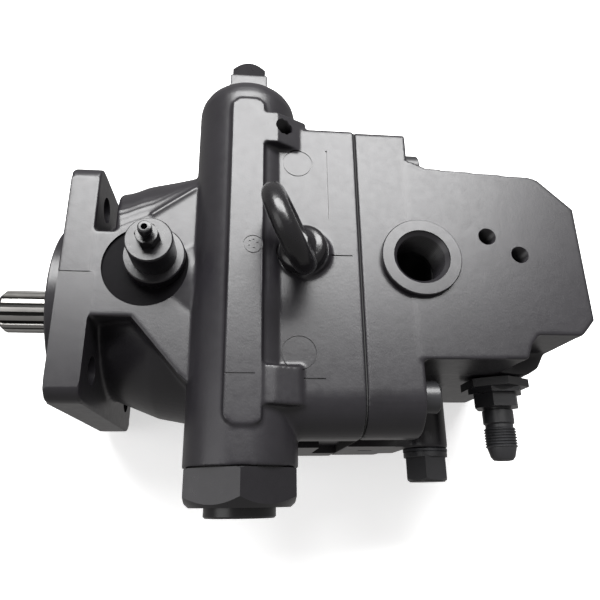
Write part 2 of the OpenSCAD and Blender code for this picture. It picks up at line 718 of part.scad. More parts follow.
pump_housing();
port_cover();
cover_gasket();
cover_screws();
drive_shaft();
shaft_seal();
seal_retaining_ring();
front_bearing_cup();
front_bearing_cone();
front_bearing_rollers();
rear_bearing_sleeve();
rear_bearing_rollers();
swashplate();
cradle_bearing_upper();
cradle_bearing_lower();
swash_arm_pin();
swash_arm_roller();
cylinder_block();
valve_plate();
ball_guide();
retainer_plate();
block_spring();
spring_washers();
block_retaining_ring();
servo_piston();
servo_spring();
servo_spring_seat();
stroke_stop_screw();
servo_cap();
servo_cap_seal();
eye_bolt();
bleed_plug();
bleed_screw();
pressure_adapter();
adapter_locknut();
adapter_seal();
gallery_plug();
gallery_plug_washer();
port_dowel();
piston_1();
piston_2();
piston_3();
piston_4();
piston_5();
piston_6();
piston_7();
piston_8();
piston_9();
slipper_1();
slipper_2();
slipper_3();
slipper_4();
slipper_5();
slipper_6();
slipper_7();
slipper_8();
slipper_9();
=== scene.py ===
"""Variable axial piston pump: finished look, built on the packed frame, in metres."""

import json
import math

import bmesh
import bpy
from bpy.props import FloatProperty, FloatVectorProperty, IntProperty, PointerProperty
from mathutils import Matrix, Vector


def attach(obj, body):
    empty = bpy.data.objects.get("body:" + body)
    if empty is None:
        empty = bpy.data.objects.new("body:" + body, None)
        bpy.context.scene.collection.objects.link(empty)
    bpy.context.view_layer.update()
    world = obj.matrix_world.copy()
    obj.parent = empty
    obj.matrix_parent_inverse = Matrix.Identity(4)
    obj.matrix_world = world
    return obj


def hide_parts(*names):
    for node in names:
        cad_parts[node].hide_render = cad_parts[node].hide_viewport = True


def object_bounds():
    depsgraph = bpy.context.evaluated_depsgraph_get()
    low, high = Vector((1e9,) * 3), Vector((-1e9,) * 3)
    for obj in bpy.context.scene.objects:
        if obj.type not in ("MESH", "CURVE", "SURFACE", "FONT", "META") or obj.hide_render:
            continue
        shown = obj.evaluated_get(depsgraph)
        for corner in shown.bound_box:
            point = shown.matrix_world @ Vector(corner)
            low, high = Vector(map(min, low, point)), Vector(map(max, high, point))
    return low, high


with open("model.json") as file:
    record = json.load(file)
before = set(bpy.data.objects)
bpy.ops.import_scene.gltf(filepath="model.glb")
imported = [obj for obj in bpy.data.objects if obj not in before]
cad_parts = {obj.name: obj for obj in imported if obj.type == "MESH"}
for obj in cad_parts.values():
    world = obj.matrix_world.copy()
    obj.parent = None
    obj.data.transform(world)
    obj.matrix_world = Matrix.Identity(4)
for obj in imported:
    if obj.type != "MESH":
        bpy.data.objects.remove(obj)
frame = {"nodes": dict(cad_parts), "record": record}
CAD_BOX = [list(corner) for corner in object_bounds()]

bl_info = {
    "name": "Axial piston pump finish",
    "version": (1, 0, 0),
    "blender": (4, 5, 0),
    "location": "View3D > Sidebar > Pump",
    "description": "Models and finishes the outer pieces of an axial piston pump",
    "category": "Object",
}

MM = 0.001
AXIS_TURN = {
    "x": Matrix.Rotation(math.radians(90), 4, "Y"),
    "y": Matrix.Rotation(math.radians(-90), 4, "X"),
    "z": Matrix.Identity(4),
}
made_finishes = {}


# ---------------------------------------------------------------- sizes and colours


class PumpCastingSettings(bpy.types.PropertyGroup):
    """How finely the cast skins are made and smoothed."""

    skin_step: FloatProperty(
        name="Skin step", description="Grid step of the cast skin", default=0.0009, unit="LENGTH"
    )
    tight_passes: IntProperty(
        name="Tight passes", description="Smoothing passes of crisp cast edges", default=2
    )
    soft_passes: IntProperty(
        name="Soft passes", description="Extra smoothing passes of the bell", default=30
    )
    most_faces: IntProperty(
        name="Most faces", description="Most triangles kept in a cast skin", default=165000
    )


class PumpFinishSettings(bpy.types.PropertyGroup):
    """Colours and gloss of the finishes."""

    paint_colour: FloatVectorProperty(
        name="Paint", description="Colour of the enamel", subtype="COLOR", default=(0.0128, 0.0118, 0.0142)
    )
    paint_gloss: FloatProperty(
        name="Paint roughness", description="Roughness of the enamel", default=0.33, subtype="FACTOR"
    )
    black_colour: FloatVectorProperty(
        name="Blackened steel", description="Colour of oxide-blacked steel", subtype="COLOR",
        default=(0.022, 0.022, 0.024),
    )
    steel_colour: FloatVectorProperty(
        name="Bare steel", description="Colour of machined steel", subtype="COLOR",
        default=(0.55, 0.54, 0.52),
    )


# ---------------------------------------------------------------- shaping helpers


def lay(bm, axis, at):
    """Turns a mesh built along +Z onto an axis and moves it to its place."""
    bmesh.ops.transform(bm, matrix=Matrix.Translation(at) @ AXIS_TURN[axis], verts=bm.verts)
    return bm


def turned(profile, at=(0, 0, 0), axis="z", steps=64, ring=False):
    """Solid of revolution from (radius, distance) pairs; a ring's profile is closed."""
    bm = bmesh.new()
    points = [bm.verts.new((radius, 0, along)) for radius, along in profile]
    pairs = list(zip(points, points[1:]))
    if ring:
        pairs.append((points[-1], points[0]))
    edges = [bm.edges.new(pair) for pair in pairs]
    bmesh.ops.spin(
        bm, geom=points + edges, cent=(0, 0, 0), axis=(0, 0, 1), dvec=(0, 0, 0),
        angle=2 * math.pi, steps=steps, use_merge=True,
    )
    bmesh.ops.remove_doubles(bm, verts=bm.verts, dist=1e-4)
    bmesh.ops.recalc_face_normals(bm, faces=bm.faces)
    return lay(bm, axis, at)


def rod(radius, low, high, at=(0, 0, 0), axis="z", steps=48):
    """Plain round bar between two distances along its axis."""
    return turned([(0, low), (radius, low), (radius, high), (0, high)], at, axis, steps)


def prism(outline, low, high, axis="z"):
    """Closed prism. The outline is (Y, Z) for axis x, (X, Z) for axis y and (X, Y) for axis z."""
    bm = bmesh.new()
    spot = {
        "x": lambda u, v: (low, u, v),
        "y": lambda u, v: (u, low, v),
        "z": lambda u, v: (u, v, low),
    }[axis]
    reach = {"x": (high - low, 0, 0), "y": (0, high - low, 0), "z": (0, 0, high - low)}[axis]
    face = bm.faces.new([bm.verts.new(spot(u, v)) for u, v in outline])
    grown = bmesh.ops.extrude_face_region(bm, geom=[face])["geom"]
    bmesh.ops.translate(bm, vec=reach, verts=[g for g in grown if isinstance(g, bmesh.types.BMVert)])
    bmesh.ops.recalc_face_normals(bm, faces=bm.faces)
    return bm


def block(low, high):
    """Box between two corners."""
    return prism([(low[0], low[1]), (high[0], low[1]), (high[0], high[1]), (low[0], high[1])],
                 low[2], high[2])


def corners(low, high, radii, along=12):
    """Rectangle outline with rounded corners, anticlockwise from low left."""
    (u0, v0), (u1, v1) = low, high
    r = radii if isinstance(radii, (list, tuple)) else [radii] * 4
    middles = [(u0 + r[0], v0 + r[0]), (u1 - r[1], v0 + r[1]), (u1 - r[2], v1 - r[2]), (u0 + r[3], v1 - r[3])]
    return [
        (m[0] + r[k] * math.cos(math.radians(180 + 90 * k + 90 * i / along)),
         m[1] + r[k] * math.sin(math.radians(180 + 90 * k + 90 * i / along)))
        for k, m in enumerate(middles) for i in range(along + 1)
    ]


def hexagon(flats, low, high, at, axis, turn=0.0):
    """Hexagonal bar, sized across its flats, turned in degrees about its own axis."""
    bm = bmesh.new()
    ring = bmesh.ops.create_circle(bm, cap_ends=True, segments=6, radius=flats / 2 / math.cos(math.pi / 6))
    spin = Matrix.Rotation(math.radians(turn + 30), 3, "Z")
    bmesh.ops.rotate(bm, cent=(0, 0, 0), matrix=spin, verts=ring["verts"])
    bmesh.ops.translate(bm, vec=(0, 0, low), verts=bm.verts)
    grown = bmesh.ops.extrude_face_region(bm, geom=bm.faces[:])["geom"]
    far_end = [g for g in grown if isinstance(g, bmesh.types.BMVert)]
    bmesh.ops.translate(bm, vec=(0, 0, high - low), verts=far_end)
    bmesh.ops.recalc_face_normals(bm, faces=bm.faces)
    return lay(bm, axis, at)


def as_object(bm, name):
    """Links a mesh built in millimetres as an object in metres."""
    bmesh.ops.scale(bm, vec=(MM, MM, MM), verts=bm.verts)
    bmesh.ops.recalc_face_normals(bm, faces=bm.faces)
    mesh = bpy.data.meshes.new(name)
    bm.to_mesh(mesh)
    bm.free()
    obj = bpy.data.objects.new(name, mesh)
    bpy.context.scene.collection.objects.link(obj)
    return obj


def joined(shapes):
    """One bmesh that holds all the shapes."""
    whole = bmesh.new()
    for bm in shapes:
        carrier = bpy.data.meshes.new("carrier")
        bm.to_mesh(carrier)
        bm.free()
        whole.from_mesh(carrier)
        bpy.data.meshes.remove(carrier)
    return whole


def settle(obj):
    """Replaces an object's mesh by what its modifiers make of it."""
    graph = bpy.context.evaluated_depsgraph_get()
    mesh = bpy.data.meshes.new_from_object(obj.evaluated_get(graph))
    obj.modifiers.clear()
    old, obj.data = obj.data, mesh
    bpy.data.meshes.remove(old)
    return obj


def combine(obj, shapes, operation, machined=None):
    """Adds, cuts or keeps what is common with each shape; faces from a shape take the machined finish."""
    for bm in shapes:
        tool = as_object(bm, "tool")
        if machined:
            tool.data.materials.append(made_finishes[machined])
        step = obj.modifiers.new("step", "BOOLEAN")
        step.operation, step.solver, step.object = operation, "MANIFOLD", tool
        step.material_mode = "TRANSFER" if machined else "INDEX"
        settle(obj)
        bpy.data.meshes.remove(tool.data)
    return obj


def cast_skin(obj, step, tight, soft, most, softness):
    """Melts overlapping solids into one cast skin; softness says how round each place is."""
    melt = obj.modifiers.new("melt", "REMESH")
    melt.mode, melt.voxel_size = "VOXEL", step
    settle(obj)
    group = obj.vertex_groups.new(name="soft")
    for v in obj.data.vertices:
        group.add([v.index], softness(v.co / MM), "REPLACE")
    tidy = obj.modifiers.new("tight", "SMOOTH")
    tidy.factor, tidy.iterations = 0.5, tight
    if soft:
        round_off = obj.modifiers.new("soft", "SMOOTH")
        round_off.factor, round_off.iterations, round_off.vertex_group = 0.5, soft, "soft"
    settle(obj)
    thin = obj.modifiers.new("thin", "DECIMATE")
    obj.data.calc_loop_triangles()
    thin.ratio = min(1.0, most / len(obj.data.loop_triangles))
    settle(obj)
    obj.vertex_groups.clear()
    return obj


def mark_machined_edges(mesh, cast_angle):
    """Keeps edges crisp where a machined face meets the skin or another machined face."""
    mesh.shade_smooth()
    bm = bmesh.new()
    bm.from_mesh(mesh)
    for edge in bm.edges:
        if len(edge.link_faces) != 2:
            continue
        a, b = edge.link_faces
        bend = edge.calc_face_angle(0.0)
        worked = a.material_index or b.material_index
        edge.smooth = bend < (math.radians(22) if worked else cast_angle)
    bm.to_mesh(mesh)
    bm.free()


def finish(obj, finish_name, slot, body, *nodes, angle=35, weighted=True):
    """Shades a piece, gives it its finish and ties it to its body and CAD nodes."""
    mesh = obj.data
    if len(mesh.materials) < 2:
        mesh.materials.clear()
        mesh.materials.append(made_finishes[finish_name])
        mesh.shade_smooth()
        mesh.set_sharp_from_angle(angle=math.radians(angle))
    else:
        mark_machined_edges(mesh, math.radians(angle))
    if weighted:
        even = obj.modifiers.new("even normals", "WEIGHTED_NORMAL")
        even.keep_sharp = True
    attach(obj, body)
    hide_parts(*nodes)
    return obj


# ---------------------------------------------------------------- outlines shared with the CAD


def casing_outline(inset=0.0):
    """Section of the casing across the shaft."""
    return corners((-80 + inset, -68 + inset), (84 - inset, 75 - inset), (26, 26, 3, 20))


PORT_BLOCK = [(176, 66), (180.5, 65), (188, 61.6), (246.5, 58.5), (250.3, 57.1), (268, 39.2), (268, -23.4),
              (260.4, -31.5), (237.5, -31.5), (233.1, -36.4), (230, -44), (176, -44.5)]
PORT_BLOCK_LOW = [(176, 60), (244, 56), (262, 38), (262, -26), (254, -40), (248, -43.5), (176, -43.5)]
SCREWS = [(70, 59), (-60, 59), (64, -50), (-60, -50)]
SERVO = (91.5, 54)


# ---------------------------------------------------------------- pieces


def parting_ridge(start, end, z):
    """Thin raised line left by the mould between two points."""
    bm = rod(1.2, 0, math.dist(start, end), steps=16)
    heading = math.atan2(end[1] - start[1], end[0] - start[0])
    place = (Matrix.Translation((*start, z)) @ Matrix.Rotation(heading, 4, "Z")
             @ Matrix.Rotation(math.radians(90), 4, "Y"))
    bmesh.ops.transform(bm, matrix=place, verts=bm.verts)
    return bm


def bell_shoulder():
    """Layers that round the bell off from its flat top down towards +Y."""
    top = [(26.5, 26), (30, 27.5), (36, 30.5), (42.7, 33.4), (65, 50.3), (70, 54)]
    foot = [(22.5, 54), (30, 55.5), (37, 59), (44.3, 61), (62.6, 64), (70, 64.5)]
    layers = []
    for k in range(13):
        turn = math.radians(90 * k / 12)
        out = math.sin(turn)
        outline = [(a + (c - a) * out, b + (d - b) * out) for (a, b), (c, d) in zip(top, foot)]
        layers.append(prism(outline + [(70, 20), (outline[0][0], 20)], -20, 63 - 19 * (1 - math.cos(turn))))
    return layers


def eye_placed(bm):
    """Moves a shape built on the lifting eye's own axis to its inclined seat."""
    place = (Matrix.Translation((121, 9, 75)) @ Matrix.Rotation(math.radians(-20), 4, "Y")
             @ Matrix.Rotation(math.radians(110), 4, "Z"))
    bmesh.ops.transform(bm, matrix=place, verts=bm.verts)
    return bm


def threaded_hole(radius, low, high, at, pitch=1.5):
    """Cutter for a tapped hole: grooves at the pitch, all the way down."""
    profile = [(0, low), (radius, low)]
    along = low + pitch
    while along < high - 2 * pitch:
        root = (radius + 0.45 * pitch, along + 0.45 * pitch)
        profile += [(radius, along), root, (radius, along + 0.9 * pitch)]
        along += pitch
    return turned(profile + [(radius, high), (0, high)], at, steps=40)


def build_housing(context):
    """Housing casting with flange, bell, servo cylinder and casing."""
    s = context.scene.pump_casting
    x, z = SERVO
    bell = [(0, 14), (50, 14), (54, 24), (62, 44), (66, 66), (66, 78), (0, 78)]
    tube = [(0, -93), (27, -93), (27, 101), (26.2, 105), (24, 109), (20, 113), (14, 119),
            (11, 122.5), (11, 126), (0, 126)]
    shapes = [
        prism(corners((-63, -64), (63, 64), 9.5), 0, 15, "x"),
        prism(corners((-63, -64), (0, 64), (9.5, 1, 1, 9.5)), 8, 16.5, "x"),
        turned(bell, axis="x", steps=96),
        prism([(14, -21.8), (36.5, -21.9), (60.5, -49.8), (70, -58), (70, 54), (65, 50.3),
               (42.7, 33.4), (27.3, 26.1), (26, 24), (14, 24)], -20, 63.4),
        *bell_shoulder(),
        parting_ridge((42.7, 33.4), (65.5, 50.7), 62.9),
        block((14, 24, -58), (55, 36, -28)),
        block((14, -36, -58), (55, -24, -28)),
        turned(tube, (x, 0, z), "y", 96),
        block((x - 10.5, 104, z - 9), (x + 10.5, 125.4, z + 12)),
        prism(corners((83, -76), (100.4, 96), (6, 4, 5, 6)), 54, 82),
        prism([(95, 60), (123, 60), (123, 73.5), (121, 74.5), (107, 82), (95, 82)], 69, 88, "y"),
        prism([(95, 60), (121, 60), (121, 74), (118, 77), (106, 81), (95, 81)], -67, -49, "y"),
        prism(casing_outline(), 92, 149, "x"),
        prism([(-80, -50), (-56, -68), (58, -68), (84, -50), (84, 52), (-80, 52)], 80, 93, "x"),
        prism([(-64, -50), (-50, -68), (50, -68), (68, -50), (68, 52), (-64, 52)], 64, 81, "x"),
        eye_placed(rod(12.9, -10, 1)),
    ]
    obj = as_object(joined(shapes), "housing_casting")
    obj.data.materials.append(made_finishes["painted casting"])
    cast_skin(obj, s.skin_step, s.tight_passes, s.soft_passes, s.most_faces, housing_softness)
    pilot = turned([(0, -9.7), (49.8, -9.7), (50.8, -8.7), (50.8, 2), (0, 2)], axis="x", steps=128)
    combine(obj, [pilot], "UNION", "painted machining")
    cuts = [
        rod(26, -12, 9.5, axis="x"), rod(27.1, -6.9, -5.4, axis="x"), rod(23, 9, 15, axis="x"),
        rod(36, 14, 31.5, axis="x", steps=96), rod(48, 31, 150, axis="x", steps=96),
        rod(17, -94, 104, (x, 0, z), "y"), rod(20, -94, -75, (x, 0, z), "y"),
        rod(6, 103, 133, (x, 0, z), "y"),
        rod(10, 20, 80, (46.5, 8.4, 0)),
        threaded_hole(4.25, 62, 84, (110.5, 80, 0)),
        rod(9, -70, -53, (120, 20, 0)),
        eye_placed(rod(13, 1, 11)), eye_placed(rod(5, -20, 20, steps=24)),
        block((-1, -70, 63.5), (19.5, 1, 70)),
        block((108, -90, 14), (150, -73.5, 49)), block((134, -90, -22), (150, -75.5, 15)),
        block((158, -90, -12), (162, -79, -8)),
    ]
    cuts.append(block((x - 10.5, 111, z + 12), (x + 10.5, 127, z + 40)))
    cuts += [rod(7.15, -1, 18, (0, sy * 44.9, sz * 44.9), "x") for sy in (-1, 1) for sz in (-1, 1)]
    cuts += [rod(5, 125, 150, (0, y, zz), "x", 24) for y, zz in SCREWS]
    cuts += [rod(0.55, 81.6, 83, (95.2 + 2.2 * math.cos(a), 9.8 + 2.2 * math.sin(a), 0), steps=10)
             for a in (0.3, 1.5, 2.4, 3.6, 4.9)]
    cuts += [
        turned([(7.4, 74.65), (7.9, 74.65), (7.9, 76), (7.4, 76)], (118, 60.8, 0), ring=True),
        turned([(7.9, 74.65), (8.4, 74.65), (8.4, 76), (7.9, 76)], (117.6, -42.3, 0), ring=True),
        turned([(4.3, 81.6), (4.8, 81.6), (4.8, 83), (4.3, 83)], (95.2, 9.8, 0), ring=True),
        block((133.1, 28.5, 74.4), (133.9, 69.5, 76)), block((133.3, 7.7, 74.4), (145.2, 8.5, 76)),
        block((119.7, -54.9, 74.5), (130, -54.1, 76)), block((83, -53.9, 81.6), (97, -53.3, 83)),
    ]
    combine(obj, cuts, "DIFFERENCE", "painted machining")
    # The recess round the bleed plug takes a near-black finish: painted shade inside the recess.
    combine(obj, [rod(21.6, 62, 80, (41.6, 5, 0), steps=96)], "DIFFERENCE", "recess painted shade")
    finish(obj, "painted casting", "painted_casting", "housing", "pump_housing", angle=75)


def housing_softness(p):
    """How soft the cast skin is at a point in millimetres."""
    if p.x < 64 and p.z < 61 and abs(p.y) < 57:
        return 1.0
    return 0.05


def build_cover(context):
    """Port cover casting."""
    s = context.scene.pump_casting
    shapes = [
        prism(casing_outline(0.5), 149.5, 178, "x"),
        prism(PORT_BLOCK, 38, 75),
        prism(PORT_BLOCK_LOW, -56, 39),
        rod(15, -44, -20, (233.5, 0, 25), "y"),
        rod(13, -80, -30, (198, 0, 0), "y"),
        prism(corners((160, -26), (228, 26), 12), -68, -38),
        block((176, -79, -40), (190, -50, 8)),
    ]
    obj = as_object(joined(shapes), "port_cover_casting")
    obj.data.materials.append(made_finishes["painted casting"])
    cast_skin(obj, s.skin_step, s.tight_passes, s.soft_passes, s.most_faces, cover_softness)
    face = turned([(0, 60), (20.65, 60), (20.65, 77.5), (20.2, 78), (0, 78)], (180.4, 7.8, 0), steps=96)
    combine(obj, [face], "UNION", "painted machining")
    cuts = [
        rod(42.1, 148, 153.5, axis="x", steps=96), rod(21, 149, 171.2, axis="x"), rod(14, 171, 175, axis="x"),
        rod(12.35, 24, 60, (180.4, 7.8, 0), steps=64),
        block((149, -90, 14), (179, -73.5, 49)), block((160.5, -90, -13), (169, -78.5, -10)),
        threaded_hole(12.5, 55, 82, (180.4, 7.8, 0), 1.6),
        turned([(0, 75.2), (12.2, 75.2), (14.6, 77.2), (14.6, 80), (0, 80)], (180.4, 7.8, 0), steps=96),
        rod(10, 158, 184.4, (0, 7.8, 31), "x"),
        rod(16, -69, -18, (194, 0, 0)),
        rod(10.5, 160, 196, (0, 0, -32), "x"),
        threaded_hole(4.25, 55, 80, (217.2, 21.5, 0)), threaded_hole(4.25, 55, 80, (233.7, 11.6, 0)),
        rod(7, -60, 0, (233.5, 0, 25), "y"), rod(8, -81, -20, (198, 0, 0), "y"),
    ]
    cuts += [rod(4.25, -69, -47, (194 + sx * 29.35, sy * 15.1, 0)) for sx in (-1, 1) for sy in (-1, 1)]
    cuts += [rod(5.5, 148, 179, (0, y, z), "x", 32) for y, z in SCREWS]
    cuts += [rod(9, 177.6, 192, (0, y, z), "x", 48) for y, z in SCREWS]
    combine(obj, cuts, "DIFFERENCE", "painted machining")
    finish(obj, "painted casting", "painted_casting", "housing", "port_cover", angle=75)


def cover_softness(p):
    """The port cover is rounder below its top face."""
    return 0.35 if p.z < 70 and p.x > 182 else 0.0


def build_shaft(context):
    """Drive shaft with its cut spline and ground journals."""
    teeth, tip, root = 15, 13.2, 11.1
    bm = bmesh.new()
    bmesh.ops.create_circle(bm, cap_ends=True, segments=teeth * 4, radius=tip)
    for k, v in enumerate(bm.verts):
        tooth, part = divmod(k, 4)
        angle = math.radians(360 / teeth * tooth + (-4.4, 4.4, 8.6, 15.4)[part])
        v.co = Vector((math.cos(angle), math.sin(angle), 0)) * (tip, tip, root, root)[part]
    bmesh.ops.translate(bm, vec=(0, 0, -50), verts=bm.verts)
    grown = bmesh.ops.extrude_face_region(bm, geom=bm.faces[:])["geom"]
    bmesh.ops.translate(bm, vec=(0, 0, 33), verts=[g for g in grown if isinstance(g, bmesh.types.BMVert)])
    bmesh.ops.recalc_face_normals(bm, faces=bm.faces)
    obj = as_object(lay(bm, "x", (0, 0, 0)), "drive_shaft_finish")
    outer = turned([(0, -49.5), (9.8, -49.5), (12.5, -46.5), (12.5, -16), (0, -16)], axis="x", steps=120)
    combine(obj, [outer], "INTERSECT")
    shank = turned([(0, -18), (10.8, -18), (10.8, -14), (15.5, -14), (16.5, -13), (16.5, 12),
                    (17.5, 12), (17.5, 31), (20, 31), (20, 33), (15, 34), (15, 110), (14.8, 112),
                    (14.8, 141), (13.3, 141), (13.3, 153.5),
                    (12.5, 154), (12.5, 172), (11.5, 173), (0, 173)], axis="x", steps=96)
    combine(obj, [shank], "UNION")
    combine(obj, [turned([(0, -51), (3, -51), (0, -46)], axis="x", steps=32)], "DIFFERENCE")
    finish(obj, "splined steel", "bare_shaft_steel", "rotor", "drive_shaft", angle=20)


def build_servo_ends(context):
    """Hex cap and stop screw on the ends of the servo cylinder."""
    x, z = SERVO
    cap = as_object(hexagon(50, -110, -93.4, (x, 0, z), "y", 30), "servo_end_cap")
    cone = turned([(0, -111), (23.4, -110), (29, -105.2), (29, -94.2), (27.2, -93), (0, -93)],
                  (x, 0, z), "y", 96)
    combine(cap, [cone], "INTERSECT")
    combine(cap, [turned([(0, -114.5), (15.8, -114.5), (16.6, -113.7), (16.6, -109), (0, -109)],
                         (x, 0, z), "y", 96),
                  rod(19.95, -94, -79, (x, 0, z), "y")], "UNION")
    combine(cap, [rod(10, -116, -111.5, (x, 0, z), "y")], "DIFFERENCE")
    finish(cap, "painted fittings", "painted_casting", "housing", "servo_cap", angle=30)
    head = as_object(hexagon(19, 126, 136.5, (x, 0, z), "y", 30), "stop_screw_head")
    combine(head, [turned([(0, 125), (11, 126), (11, 134.3), (8.4, 136.5), (0, 136.5)], (x, 0, z), "y", 64)],
            "INTERSECT")
    combine(head, [rod(5.95, 92.2, 127, (x, 0, z), "y")], "UNION")
    finish(head, "painted fittings", "painted_casting", "housing", "stroke_stop_screw", angle=30)


def build_lifting_eye(context):
    """Forged lifting eye on its collar."""
    ring_radius, bar_radius = 17.4, 5.4
    bar = [(ring_radius + bar_radius * math.cos(math.radians(a)), bar_radius * math.sin(math.radians(a)))
           for a in range(0, 360, 15)]
    ring = turned(bar, steps=96, ring=True)
    upright = Matrix.Translation((0, 0, 28)) @ Matrix.Rotation(math.radians(90), 4, "X")
    bmesh.ops.transform(ring, matrix=upright, verts=ring.verts)
    collar = turned([(0, 1.05), (12.2, 1.05), (12.5, 1.5), (12.5, 6.6), (11, 8.6), (8, 9.6),
                     (6.6, 12), (5.4, 15), (0, 15)])
    obj = as_object(joined([eye_placed(ring), eye_placed(collar)]), "lifting_eye")
    cast_skin(obj, 0.0006, 3, 14, 60000, lambda p: 1.0)
    combine(obj, [eye_placed(rod(4.95, -16, 4, steps=32))], "UNION")
    finish(obj, "blackened forging", "black_steel", "housing", "eye_bolt", angle=50)


def build_bleeder(context):
    """Bleed plug with its nipple."""
    at = (46.5, 8.4, 62)
    profile = [(0, -14), (9.95, -14), (9.95, 0), (14.9, 0), (15.3, 0.4), (15.3, 7.2), (14.7, 7.9),
               (11.3, 8.1), (11.3, 24.3), (10.7, 25), (3.05, 25), (3.05, 12), (0, 12)]
    plug = as_object(turned(profile, at, "z", 96), "bleed_plug_body")
    finish(plug, "painted fittings", "painted_casting", "housing", "bleed_plug", angle=30)
    at = (46.5, 8.4, 87)
    hexed = as_object(hexagon(10, 0.1, 6.1, at, "z", 0), "bleed_nipple")
    rounded = turned([(0, 0), (5.2, 0.1), (5.7, 0.6), (5.7, 5.4), (5, 6.1), (0, 6.1)], at, "z")
    combine(hexed, [rounded], "INTERSECT")
    stem = turned([(0, -10), (3, -10), (3, 1), (2.4, 4), (2.4, 8.4), (3.2, 8.9), (3.35, 10.4),
                   (3, 12.7), (2.5, 12.9), (1.5, 12.9), (1.4, -8), (0, -8)], at, "z")
    combine(hexed, [stem], "UNION")
    finish(hexed, "blackened forging", "black_steel", "bleed_valve", "bleed_screw", angle=30)


def build_cover_screws(context):
    """Socket-head screws that hold the port cover."""
    profile = [(0, 127), (4.6, 127), (5, 127.5), (5, 177.6), (7.6, 177.6), (8, 178), (8, 186.8),
               (7.2, 187.6), (4.7, 187.6), (4.4, 187.2), (0, 187.2)]
    shapes = [turned(profile, (0, y, z), "x", 48) for y, z in SCREWS]
    obj = as_object(joined(shapes), "cover_cap_screws")
    combine(obj, [hexagon(8, 182, 189, (0, y, z), "x") for y, z in SCREWS], "DIFFERENCE")
    finish(obj, "blackened steel", "black_steel", "housing", "cover_screws", angle=30)


def build_adapter(context):
    """Hose adapter with its locknut."""
    at = (233.5, 0, 25)
    thread = []
    for k in range(7):
        y = -71.2 - 1.5 * k
        thread += [(7.9, y), (8.45, y - 0.45), (8.45, y - 0.75), (7.75, y - 1.2)]
    profile = [(0, -26), (6.95, -26), (6.95, -43.5), (7.5, -44), (7.5, -61), (8.3, -61.6),
               (8.3, -68.4), (7.4, -69.2), (7.4, -70.8)]
    profile += thread + [(7.7, -81.8), (6.4, -86.4), (5, -88.1), (3.7, -88.3), (3.7, -30), (0, -30)]
    body = as_object(turned(profile, at, "y"), "hose_adapter")
    hexed = hexagon(22, -60, -52.6, at, "y", 0)
    combine(body, [hexed], "UNION")
    finish(body, "blackened steel", "black_steel", "housing", "pressure_adapter", angle=30)
    nut = as_object(hexagon(32, -49.6, -45.2, at, "y", 30), "adapter_nut")
    combine(nut, [hexagon(27, -52.5, -49.5, at, "y", 0)], "UNION")
    combine(nut, [rod(7.55, -60, -40, at, "y")], "DIFFERENCE")
    finish(nut, "blackened steel", "black_steel", "housing", "adapter_locknut", angle=30)


def build_gallery_plug(context):
    """Long hex plug on the gallery boss."""
    at = (198, 0, 0)
    obj = as_object(hexagon(22, -97.4, -84.5, at, "y", 12), "gallery_hex_plug")
    chamfered = turned([(0, -97.4), (10.6, -97.4), (12.7, -96), (12.7, -84.5), (0, -84.5)], at, "y")
    combine(obj, [chamfered], "INTERSECT")
    shank = rod(7.95, -83, -58, at, "y")
    end_face = turned([(0, -98), (9.9, -98), (10.2, -97.7), (10.2, -97), (0, -97)], at, "y")
    washer_face = turned([(0, -84.6), (12.2, -84.6), (12.4, -84.3), (12.4, -81.9), (12.2, -81.6), (0, -81.6)],
                         at, "y")
    combine(obj, [shank, end_face, washer_face], "UNION")
    finish(obj, "blackened steel", "black_steel", "housing", "gallery_plug", angle=30)


# ---------------------------------------------------------------- finishes


def new_finish(name):
    """A material with its shader, an object-space coordinate and a layout ready to link."""
    material = bpy.data.materials.new(name)
    material.use_nodes = True
    tree = material.node_tree
    shader = tree.nodes["Principled BSDF"]
    where = tree.nodes.new("ShaderNodeTexCoord")
    made_finishes[name] = material
    return tree, shader, where.outputs["Object"]


def noise(tree, where, scale, detail=4.0, rough=0.5):
    """Noise factor at a scale given per metre."""
    node = tree.nodes.new("ShaderNodeTexNoise")
    node.inputs["Scale"].default_value = scale
    node.inputs["Detail"].default_value = detail
    node.inputs["Roughness"].default_value = rough
    tree.links.new(where, node.inputs["Vector"])
    return node.outputs["Fac"]


def ramp(tree, value, stops):
    """Colour ramp from (position, colour) stops."""
    node = tree.nodes.new("ShaderNodeValToRGB")
    ends = node.color_ramp.elements
    for element, (position, colour) in zip(ends, stops[:2]):
        element.position, element.color = position, (*colour, 1)
    for position, colour in stops[2:]:
        ends.new(position).color = (*colour, 1)
    tree.links.new(value, node.inputs["Fac"])
    return node.outputs["Color"]


def spread(tree, value, low, high, to_low, to_high):
    """Maps a range of a value onto another."""
    node = tree.nodes.new("ShaderNodeMapRange")
    for name, number in (("From Min", low), ("From Max", high), ("To Min", to_low), ("To Max", to_high)):
        node.inputs[name].default_value = number
    tree.links.new(value, node.inputs["Value"])
    return node.outputs["Result"]


def bump(tree, shader, *layers):
    """Stacks bump layers of (height, depth in metres) on the shader."""
    last = None
    for height, depth in layers:
        node = tree.nodes.new("ShaderNodeBump")
        node.inputs["Distance"].default_value = depth
        tree.links.new(height, node.inputs["Height"])
        if last:
            tree.links.new(last, node.inputs["Normal"])
        last = node.outputs["Normal"]
    tree.links.new(last, shader.inputs["Normal"])


def tint(colour, share):
    """A colour made lighter or darker."""
    return tuple(min(1.0, c * share) for c in colour)


